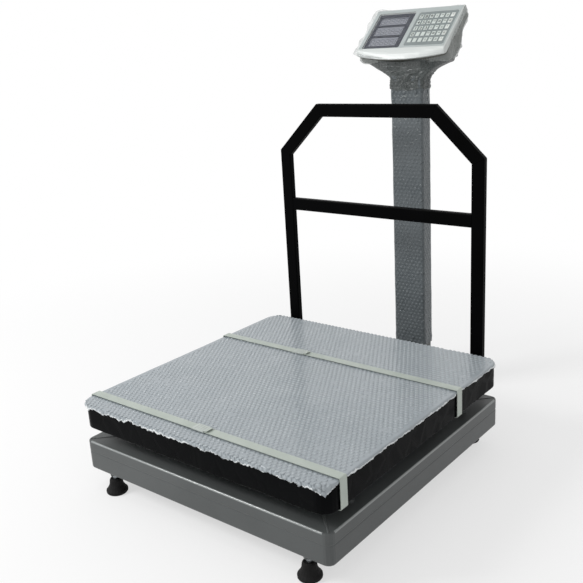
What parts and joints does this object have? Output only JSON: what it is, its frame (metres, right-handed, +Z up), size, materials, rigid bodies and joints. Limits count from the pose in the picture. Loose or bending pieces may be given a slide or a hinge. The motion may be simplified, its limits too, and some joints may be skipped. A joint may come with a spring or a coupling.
{
  "type": "platform scale",
  "caption": "Bench platform scale with levelling feet, a back rail and a tilting indicator head on a rear pole, still in its bubble film and straps.",
  "frame": {"origin": "on the floor, under the middle of the whole scale's outline", "axes": "+Z up, +X along the platform's front edge to the right, +Y to the back, where the pole stands"},
  "size_m": [0.6066, 0.8418, 0.8949],
  "materials": {
    "grey_enamel": "satin grey enamel",
    "black_enamel": "glossy black enamel",
    "plate_steel": "rolled chequer plate",
    "bubble_film": "clear bubble film over steel",
    "zinc_steel": "zinc plated",
    "aluminium": "machined",
    "rubber": "moulded",
    "strapping": "embossed strapping",
    "brass": "turned",
    "vial_glass": "tinted",
    "silver_plastic": "painted silver grey",
    "grey_plastic": "fine moulded grain",
    "smoked_lens": "smoked acrylic",
    "display": "unlit display glass",
    "keypad": "polyester film",
    "circuit_board": "solder mask",
    "battery_case": "moulded",
    "black_plastic": "moulded"
  },
  "bodies": {
    "base": {"base_beam": "grey_enamel", "base_frame": "grey_enamel", "bracket_screw_1": "zinc_steel", "bracket_screw_2": "zinc_steel", "bracket_screw_3": "zinc_steel", "bracket_screw_4": "zinc_steel", "cell_spacer_lower": "zinc_steel", "clamp_screw_lower": "zinc_steel", "clamp_screw_upper": "zinc_steel", "head_yoke": "grey_enamel", "level_case": "brass", "level_vial": "vial_glass", "load_cell": "aluminium", "mast_bracket": "grey_enamel", "pole_film": "bubble_film", "pole_plug": "black_plastic", "pole_tube": "grey_enamel"},
    "deck": {"cell_spacer_upper": "zinc_steel", "deck_frame": "black_enamel", "deck_beam": "black_enamel", "deck_plate": "plate_steel", "deck_film": "bubble_film", "strap_front": "strapping", "strap_rear": "strapping", "strap_clip_front": "zinc_steel", "strap_clip_rear": "zinc_steel", "rail_post_left": "black_enamel", "rail_post_right": "black_enamel", "rail_corner_left": "black_enamel", "rail_corner_right": "black_enamel", "rail_top_bar": "black_enamel", "rail_middle_bar": "black_enamel", "rail_screw_1": "zinc_steel", "rail_screw_2": "zinc_steel", "rail_screw_3": "zinc_steel", "rail_screw_4": "zinc_steel"},
    "head": {"head_rear_shell": "grey_plastic", "head_front_cover": "silver_plastic", "display_lens": "smoked_lens", "display_row_1": "display", "display_row_2": "display", "display_row_3": "display", "keypad_membrane": "keypad", "main_board": "circuit_board", "battery": "battery_case", "power_inlet": "black_plastic", "switch_body": "black_plastic", "head_film": "bubble_film"},
    "knob_left": {"tilt_knob_left": "black_plastic"},
    "knob_right": {"tilt_knob_right": "black_plastic"},
    "rocker": {"switch_rocker": "black_plastic"},
    "foot_front_left": {"foot_bell_front_left": "rubber", "foot_stud_front_left": "zinc_steel"},
    "foot_front_right": {"foot_bell_front_right": "rubber", "foot_stud_front_right": "zinc_steel"},
    "foot_rear_left": {"foot_bell_rear_left": "rubber", "foot_stud_rear_left": "zinc_steel"},
    "foot_rear_right": {"foot_bell_rear_right": "rubber", "foot_stud_rear_right": "zinc_steel"}
  },
  "joints": [
    {"name": "deck_travel", "type": "slide", "parent": "base", "child": "deck", "axis": [0, 0, -1], "range_m": [0, 0.001], "stiffness_N_per_m": 1000000, "springref_m": -0.0002, "deforming": ["load_cell"]},
    {"name": "head_tilt", "type": "hinge", "parent": "base", "child": "head", "pos_m": [0, 0.35124, 0.7706], "axis": [1, 0, 0], "range_deg": [-15, 20]},
    {"name": "knob_left_turn", "type": "hinge", "parent": "head", "child": "knob_left", "pos_m": [-0.0445, 0.35124, 0.7706], "axis": [1, 0, 0], "continuous": true},
    {"name": "knob_right_turn", "type": "hinge", "parent": "head", "child": "knob_right", "pos_m": [0.0445, 0.35124, 0.7706], "axis": [1, 0, 0], "continuous": true},
    {"name": "switch_rock", "type": "hinge", "parent": "head", "child": "rocker", "pos_m": [0.074, 0.37228, 0.79963], "axis": [0, 0.749, 0.6626], "range_deg": [0, 16]},
    {"name": "foot_front_left_height", "type": "slide", "parent": "base", "child": "foot_front_left", "axis": [0, 0, 1], "range_m": [-0.012, 0.007]},
    {"name": "foot_front_right_height", "type": "slide", "parent": "base", "child": "foot_front_right", "axis": [0, 0, 1], "range_m": [-0.012, 0.007]},
    {"name": "foot_rear_left_height", "type": "slide", "parent": "base", "child": "foot_rear_left", "axis": [0, 0, 1], "range_m": [-0.012, 0.007]},
    {"name": "foot_rear_right_height", "type": "slide", "parent": "base", "child": "foot_rear_right", "axis": [0, 0, 1], "range_m": [-0.012, 0.007]}
  ]
}
